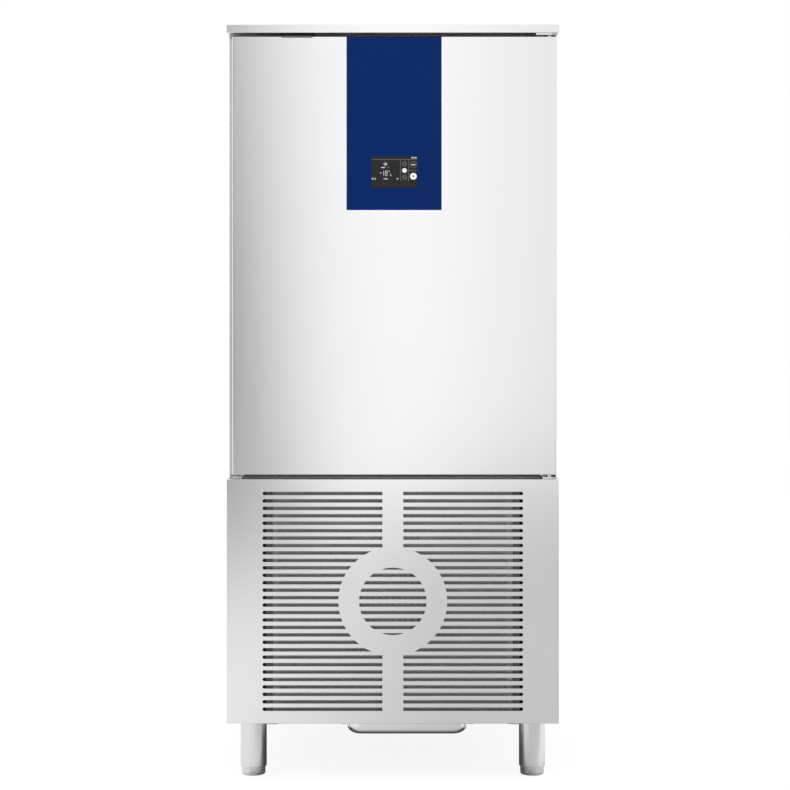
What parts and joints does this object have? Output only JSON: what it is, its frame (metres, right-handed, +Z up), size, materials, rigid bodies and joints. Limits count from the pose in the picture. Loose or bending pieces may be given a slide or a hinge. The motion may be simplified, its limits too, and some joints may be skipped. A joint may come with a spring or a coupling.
{
  "type": "blast chiller",
  "caption": "Upright stainless blast chiller: insulated tray cell behind a right-hinged door with touch control, machine compartment behind a louvred panel, drip tray, adjustable legs.",
  "frame": {"origin": "on the floor under the middle of the cabinet", "axes": "+Z up, the door faces -Y, +X is to the right of someone facing the door"},
  "size_m": [0.79, 0.82, 1.8],
  "materials": {
    "stainless_outer": "satin",
    "stainless_inner": "satin",
    "stainless_fitting": "satin",
    "galvanised_steel": "satin",
    "foam": "matte",
    "grey_plastic": "matte",
    "black_plastic": "matte",
    "blue_fascia": "satin",
    "display_glass": "gloss",
    "rubber": "matte",
    "aluminium_fins": "satin",
    "filter_mesh": "satin",
    "copper": "satin",
    "dark_metal": "satin"
  },
  "bodies": {
    "cabinet": {"outer_casing": "stainless_outer", "top_lid": "stainless_outer", "side_panel_left": "stainless_outer", "side_panel_right": "stainless_outer", "front_grille_panel": "stainless_outer", "inner_liner": "stainless_inner", "evaporator_fan_panel": "stainless_inner", "tray_rack_left": "stainless_inner", "tray_rack_right": "stainless_inner", "evaporator_fan_guard_upper": "stainless_inner", "evaporator_fan_guard_lower": "stainless_inner", "drain_pipe": "stainless_inner", "leg_front_left": "stainless_fitting", "leg_front_right": "stainless_fitting", "leg_rear_left": "stainless_fitting", "leg_rear_right": "stainless_fitting", "hinge_bracket_upper": "stainless_fitting", "hinge_bracket_lower": "stainless_fitting", "hinge_pin_upper": "stainless_fitting", "hinge_pin_lower": "stainless_fitting", "spare_hinge_bracket": "stainless_fitting", "base_frame": "galvanised_steel", "rear_vent_panel": "galvanised_steel", "tray_runner_left": "galvanised_steel", "tray_runner_right": "galvanised_steel", "condenser_fan_shroud": "galvanised_steel", "cell_insulation": "foam", "thermal_break_frame": "grey_plastic", "electrical_box": "grey_plastic", "door_switch": "black_plastic", "core_probe_gland": "black_plastic", "mains_inlet_gland": "black_plastic", "evaporator_coil": "aluminium_fins", "condenser_coil": "aluminium_fins", "condenser_filter": "filter_mesh", "suction_pipe": "copper", "liquid_pipe": "copper", "discharge_pipe": "copper", "filter_drier": "copper", "compressor": "dark_metal", "liquid_receiver": "dark_metal", "condenser_fan_motor": "dark_metal", "evaporator_fan_motor_upper": "dark_metal", "evaporator_fan_motor_lower": "dark_metal"},
    "door": {"door_outer_skin": "stainless_outer", "door_foam": "foam", "door_inner_liner": "stainless_inner", "door_gasket": "rubber", "door_grip_profile": "stainless_outer", "control_fascia": "blue_fascia", "touch_display": "display_glass"},
    "condenser_fan": {"condenser_fan_blades": "black_plastic"},
    "evaporator_fan_upper": {"evaporator_fan_blades_upper": "aluminium_fins"},
    "evaporator_fan_lower": {"evaporator_fan_blades_lower": "aluminium_fins"},
    "drip_tray": {"drip_tray": "stainless_fitting"},
    "drain_plug": {"drain_plug": "rubber"},
    "foot_front_left": {"foot_front_left": "stainless_fitting"},
    "foot_front_right": {"foot_front_right": "stainless_fitting"},
    "foot_rear_left": {"foot_rear_left": "stainless_fitting"},
    "foot_rear_right": {"foot_rear_right": "stainless_fitting"}
  },
  "joints": [
    {"name": "door_hinge", "type": "hinge", "parent": "cabinet", "child": "door", "pos_m": [0.37375, -0.396, 1.25135], "axis": [0, 0, 1], "range_deg": [0, 110]},
    {"name": "condenser_fan_spin", "type": "hinge", "parent": "cabinet", "child": "condenser_fan", "pos_m": [0, -0.2965, 0.4205], "axis": [0, 1, 0], "continuous": true},
    {"name": "evaporator_fan_upper_spin", "type": "hinge", "parent": "cabinet", "child": "evaporator_fan_upper", "pos_m": [0, 0.146, 1.4755], "axis": [0, 1, 0], "continuous": true},
    {"name": "evaporator_fan_lower_spin", "type": "hinge", "parent": "cabinet", "child": "evaporator_fan_lower", "pos_m": [0, 0.146, 1.0255], "axis": [0, 1, 0], "continuous": true},
    {"name": "drip_tray_slide", "type": "slide", "parent": "cabinet", "child": "drip_tray", "axis": [0, -1, 0], "range_m": [0, 0.3]},
    {"name": "drain_plug_lift", "type": "slide", "parent": "cabinet", "child": "drain_plug", "axis": [0, 0, 1], "range_m": [0, 0.05]},
    {"name": "foot_front_left_screw", "type": "slide", "parent": "cabinet", "child": "foot_front_left", "axis": [0, 0, -1], "range_m": [0, 0.03]},
    {"name": "foot_front_right_screw", "type": "slide", "parent": "cabinet", "child": "foot_front_right", "axis": [0, 0, -1], "range_m": [0, 0.03]},
    {"name": "foot_rear_left_screw", "type": "slide", "parent": "cabinet", "child": "foot_rear_left", "axis": [0, 0, -1], "range_m": [0, 0.03]},
    {"name": "foot_rear_right_screw", "type": "slide", "parent": "cabinet", "child": "foot_rear_right", "axis": [0, 0, -1], "range_m": [0, 0.03]}
  ]
}
